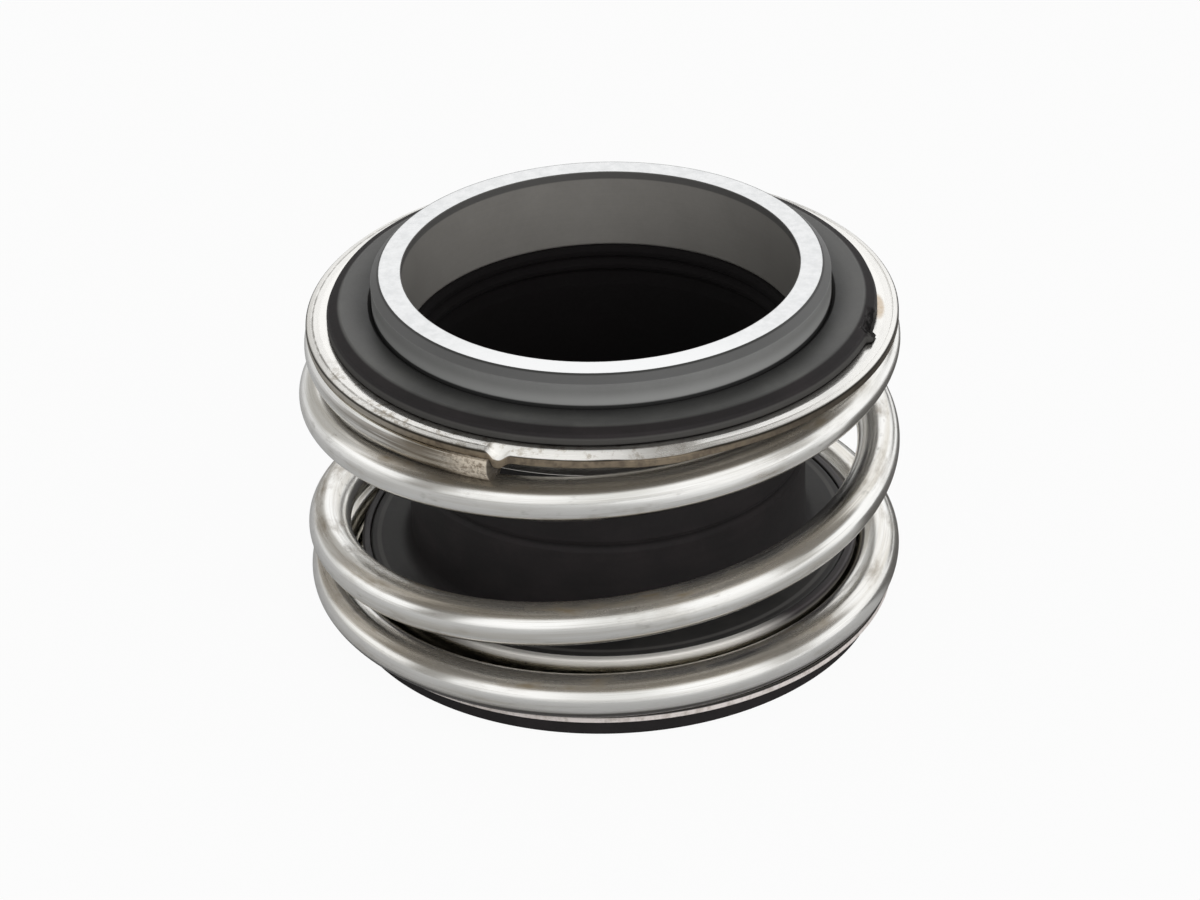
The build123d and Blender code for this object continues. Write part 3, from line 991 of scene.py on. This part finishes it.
class SEAL_OT_stage(Operator):
    """Adds the floor, the soft lights, the pale surroundings and the camera"""

    bl_idname = "seal.stage"
    bl_label = "Stage"

    def execute(self, context):
        s = context.scene.seal_stage
        self.floor(s)
        self.surroundings(context.scene, s)
        self.light("key_light", s.key_power, (0.16, -0.42, 0.3), 0.5)
        self.light("back_light", s.back_power, (-0.05, 0.5, 0.32), 0.45)
        self.camera(context.scene)
        context.scene.view_settings.view_transform = "Standard"
        return {"FINISHED"}

    def floor(self, s):
        """A wide floor. For the camera its own shade is mixed with plain white, so that it is pale
        but keeps the object's shadow.

        Mirrored rays see it partly white: far away, more so at the right, and in patches at the
        left, at the right and in front at the right. Close behind, at the right, it is dark."""
        half = 2.0
        corners = [(-half, -half), (half, -half), (half, half), (-half, half)]
        mesh = bpy.data.meshes.new("studio_floor")
        mesh.from_pydata([(x, y, -0.01 * MM) for x, y in corners], [], [(0, 1, 2, 3)])
        finish = Finish("studio_floor", Roughness=0.9)
        finish.feed("Base Color", s.floor_colour)
        x, y, _ = finish.parts(finish.place())
        distance = (x * x + y * y) ** 0.5
        far = distance.between_mm(50, 220) * (0.12 + x.between_mm(-50, 60) * 0.68)
        near = x.between_mm(0, 35) * y.between_mm(-20, -50) * 0.5
        left = distance.between_mm(60, 120) * x.between_mm(-30, -70) * y.between_mm(-60, -20) * 0.35
        lit = distance.between_mm(56, 64) * x.between_mm(30, 50) * y.between_mm(-30, -12) * 0.85
        mirrored = finish.rays("Is Glossy Ray", "Is Transmission Ray")
        share = finish.rays("Is Camera Ray") * s.floor_white + mirrored * (far + near + lit + left)
        share = share.math("MINIMUM", share, 0.95)
        glow = finish.node("ShaderNodeEmission", None, {"Color": (1, 1, 1, 1), "Strength": 1.0})
        shade = Wire(finish, finish.shader.outputs[0])
        mixed = finish.node("ShaderNodeMixShader", None, {0: share, 1: shade, 2: glow})
        shadow = y.between_mm(-6.5, -1) * x.between_mm(-25, 0) * distance.between_mm(90, 70)
        shadow = shadow * mirrored * 0.85
        dusk = finish.node("ShaderNodeEmission", None, {"Color": (0.07, 0.065, 0.06, 1)})
        mixed = finish.node("ShaderNodeMixShader", None, {0: shadow, 1: mixed, 2: dusk})
        finish.join(mixed, finish.output.inputs["Surface"])
        shown("studio_floor", mesh, finish.material)

    def surroundings(self, scene, s):
        """A studio that is plain white to the camera and lights the object from all round.

        Mirrored rays see pale panels, greyer in front and at the foot, up to a dark roof that is
        lower at both sides. Two grey posts stand between the front and the sides. Behind it is
        grey up to mid height at the left, and dark at the foot at the right."""
        world = bpy.data.worlds.new("studio")
        world.use_nodes = True
        scene.world = world
        sky = Network(world.node_tree)
        direction = sky.node("ShaderNodeTexCoord", output="Generated")
        x, y, z = sky.parts(direction)
        right = x.between(-0.08, 0.08)
        bearing = x.math("ARCTAN2", x, y * -1)
        aside = bearing.math("ABSOLUTE", bearing)
        post = aside.band(1.0, 1.13, 1.3, 1.45)
        post_colour = sky.mix((0.27, 0.26, 0.245), (0.5, 0.49, 0.47), right)
        far_left = aside.band(2.0, 2.2, 2.75, 2.95) * (1 - right)
        far_left = far_left * (1 - z.between(0.53, 0.62) * 0.75)
        middle = aside.between(0.65, 0.3)
        low = z.between(0.2, 0.0) * (0.8 - right * (1 - middle) * 0.5)
        low = low * (1 - right * aside.band(1.3, 1.4, 1.8, 1.95))
        low_colour = sky.mix((0.6, 0.6, 0.59), (0.36, 0.355, 0.34), middle)
        behind = aside.between(2.15, 2.35) * right * z.between(0.22, 0.06)
        lower = aside.band(1.1, 1.35, 1.82, 1.98)
        roof = 0.765 - lower * 0.32
        over = (z - roof).between(-0.06, 0.06)
        shade = sky.coats(
            (1.0, 1.0, 1.0),
            (post_colour, post),
            ((0.42, 0.41, 0.39), far_left),
            ((0.79, 0.79, 0.78), aside.between(0.45, 0.15)),
            (low_colour, low * (1 - post)),
            ((0.07, 0.065, 0.06), behind),
            ((0.14, 0.13, 0.113), over),
        )
        white = {"Color": (1, 1, 1, 1), "Strength": 1.0}
        plain = sky.node("ShaderNodeBackground", None, white)
        soft = sky.node("ShaderNodeBackground", None, {"Color": (1, 1, 1, 1), "Strength": s.world_level})
        mirrored = sky.node("ShaderNodeBackground", None, {"Color": shade})
        seen = sky.rays("Is Glossy Ray", "Is Transmission Ray").between(0.0, 1.0)
        first = sky.node("ShaderNodeMixShader", None, {0: seen, 1: soft, 2: mirrored})
        seen = sky.rays("Is Camera Ray")
        second = sky.node("ShaderNodeMixShader", None, {0: seen, 1: first, 2: plain})
        sky.node("ShaderNodeOutputWorld", None, {"Surface": second}, output=None)

    def light(self, name, power, place, size):
        lamp = bpy.data.lights.new(name, "AREA")
        lamp.energy = power
        lamp.size = size
        made = bpy.data.objects.new(name, lamp)
        made.location = place
        aim = Vector((0, 0, 0.014)) - made.location
        made.rotation_euler = aim.to_track_quat("-Z", "Y").to_euler()
        made.visible_camera = False
        made.visible_glossy = False
        bpy.context.scene.collection.objects.link(made)

    def camera(self, scene):
        """A long lens, 31 degrees above the floor, turned by 2 degrees about its own axis."""
        lens = bpy.data.cameras.new("camera")
        lens.lens = 121.889
        lens.sensor_width = 36.0
        lens.clip_start = 0.01
        made = bpy.data.objects.new("camera", lens)
        pitch, yaw, roll = math.radians(30.8835), math.radians(-0.1109), math.radians(-2.0468)
        ahead = np.array(
            [math.sin(yaw) * math.cos(pitch), math.cos(yaw) * math.cos(pitch), -math.sin(pitch)]
        )
        right = np.array([math.cos(yaw), -math.sin(yaw), 0.0])
        up = np.cross(right, ahead)
        across = right * math.cos(roll) + up * math.sin(roll)
        above = -right * math.sin(roll) + up * math.cos(roll)
        turn = np.eye(4)
        turn[:3, 0], turn[:3, 1], turn[:3, 2] = across, above, -ahead
        turn[:3, 3] = (0.00147 * MM, -265.491 * MM, 170.821 * MM)
        made.matrix_world = Matrix(turn.tolist())
        scene.collection.objects.link(made)
        scene.camera = made


# ---------------------------------------------------------------------------- add-on


class SEAL_PT_panel(Panel):
    """Lists the seal's pieces in the sidebar"""

    bl_idname = "SEAL_PT_panel"
    bl_label = "Mechanical Seal"
    bl_space_type = "VIEW_3D"
    bl_region_type = "UI"
    bl_category = "Seal"

    def draw(self, context):
        for operator in OPERATORS:
            self.layout.operator(operator.bl_idname)
        for name in GROUPS:
            box = self.layout.box()
            group = getattr(context.scene, name)
            for field in group.__annotations__:
                box.prop(group, field)


GROUPS = {
    "seal_face": FaceSettings,
    "seal_rubber": RubberSettings,
    "seal_rings": RingSettings,
    "seal_spring": SpringSettings,
    "seal_stage": StageSettings,
}
OPERATORS = (
    SEAL_OT_face_ring,
    SEAL_OT_bellows,
    SEAL_OT_rings,
    SEAL_OT_spring,
    SEAL_OT_stage,
)


def register():
    for group in GROUPS.values():
        bpy.utils.register_class(group)
    for name, group in GROUPS.items():
        setattr(bpy.types.Scene, name, PointerProperty(type=group))
    for operator in OPERATORS:
        bpy.utils.register_class(operator)
    bpy.utils.register_class(SEAL_PT_panel)


def unregister():
    bpy.utils.unregister_class(SEAL_PT_panel)
    for operator in reversed(OPERATORS):
        bpy.utils.unregister_class(operator)
    for name, group in GROUPS.items():
        delattr(bpy.types.Scene, name)
        bpy.utils.unregister_class(group)


def main():
    register()
    bpy.ops.seal.face_ring()
    bpy.ops.seal.bellows()
    bpy.ops.seal.rings()
    bpy.ops.seal.spring()
    bpy.ops.seal.stage()


if __name__ == "__main__":
    main()
